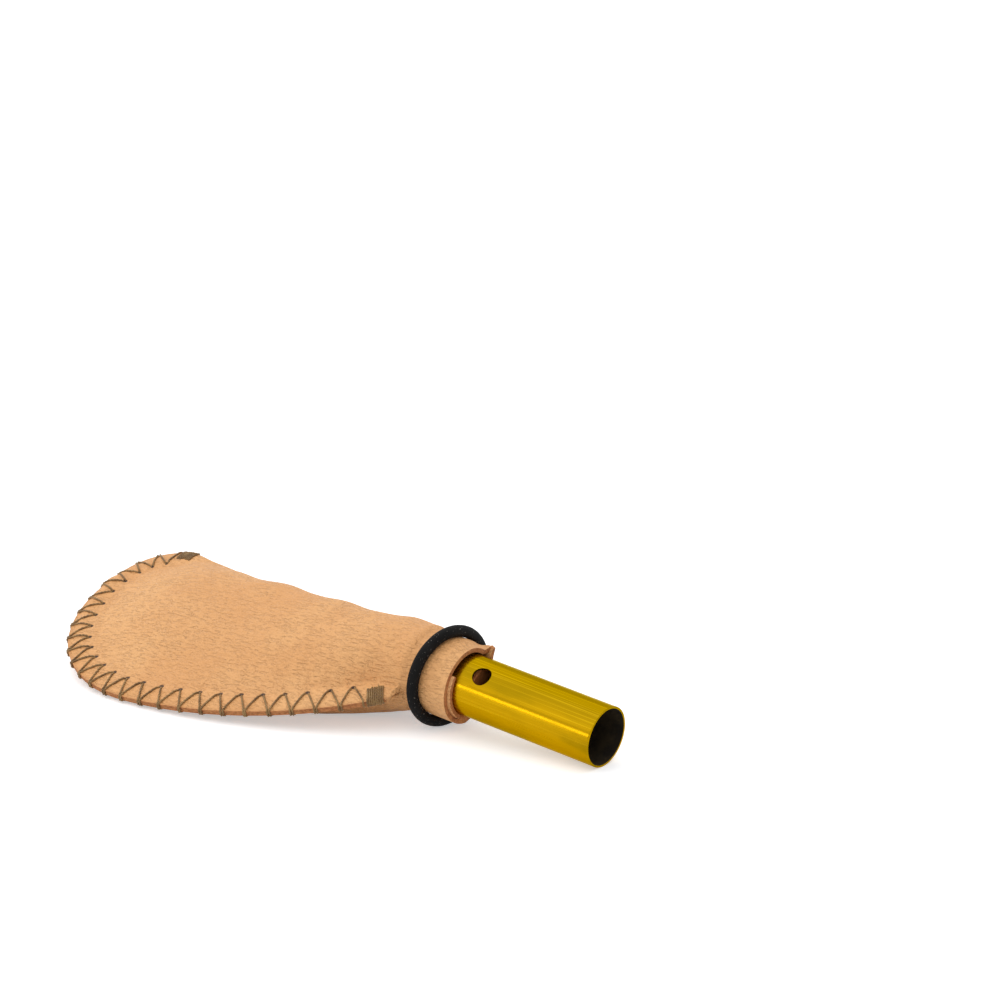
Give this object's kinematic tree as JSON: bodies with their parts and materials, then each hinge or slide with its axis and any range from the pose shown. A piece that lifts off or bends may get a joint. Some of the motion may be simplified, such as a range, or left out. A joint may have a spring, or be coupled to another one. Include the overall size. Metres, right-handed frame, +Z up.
{
  "type": "bird call",
  "caption": "Stuffed leather pouch with a sewn edge that pumps air through a brass whistle tube, held in its neck by a rubber ring.",
  "frame": {"origin": "middle of the whole box, on the plane that the call lies on", "axes": "+X along the whistle towards its mouth, +Y towards the fold of the hide, +Z up"},
  "size_m": [0.1508, 0.0534, 0.0237],
  "materials": {
    "leather": "natural vegetable-tanned, fine cross grain",
    "thread": "waxed olive-brown thread",
    "rubber": "matte black",
    "brass": "drawn, fine lines along the tube",
    "wood": "brown hardwood",
    "cork": "cork",
    "horsehair": "curled hair"
  },
  "bodies": {
    "pouch": {"lower_panel": "leather", "upper_panel": "leather", "neck_collar": "leather", "horsehair_filling": "horsehair", "seam_thread": "thread", "neck_bar_tack": "thread", "end_bar_tack": "thread"},
    "squeeze": {"squeeze_panel": "leather"},
    "ring": {"clamp_ring": "rubber"},
    "whistle": {"whistle_tube": "brass", "fipple_block": "wood"},
    "stopper": {"tuning_stopper": "cork"}
  },
  "joints": [
    {"name": "pouch_squeeze", "type": "slide", "parent": "pouch", "child": "squeeze", "axis": [0, 0.3173, -0.9483], "range_m": [0, 0.006], "stiffness_N_per_m": 300, "deforming": ["horsehair_filling"]},
    {"name": "ring_slide", "type": "slide", "parent": "pouch", "child": "ring", "axis": [0.9938, 0, -0.1116], "range_m": [-0.002, 0.0005]},
    {"name": "whistle_pull", "type": "slide", "parent": "pouch", "child": "whistle", "axis": [0.9938, 0, -0.1116], "range_m": [0, 0.006]},
    {"name": "stopper_slide", "type": "slide", "parent": "whistle", "child": "stopper", "axis": [0.9938, 0, -0.1116], "range_m": [-0.003, 0.003]}
  ]
}
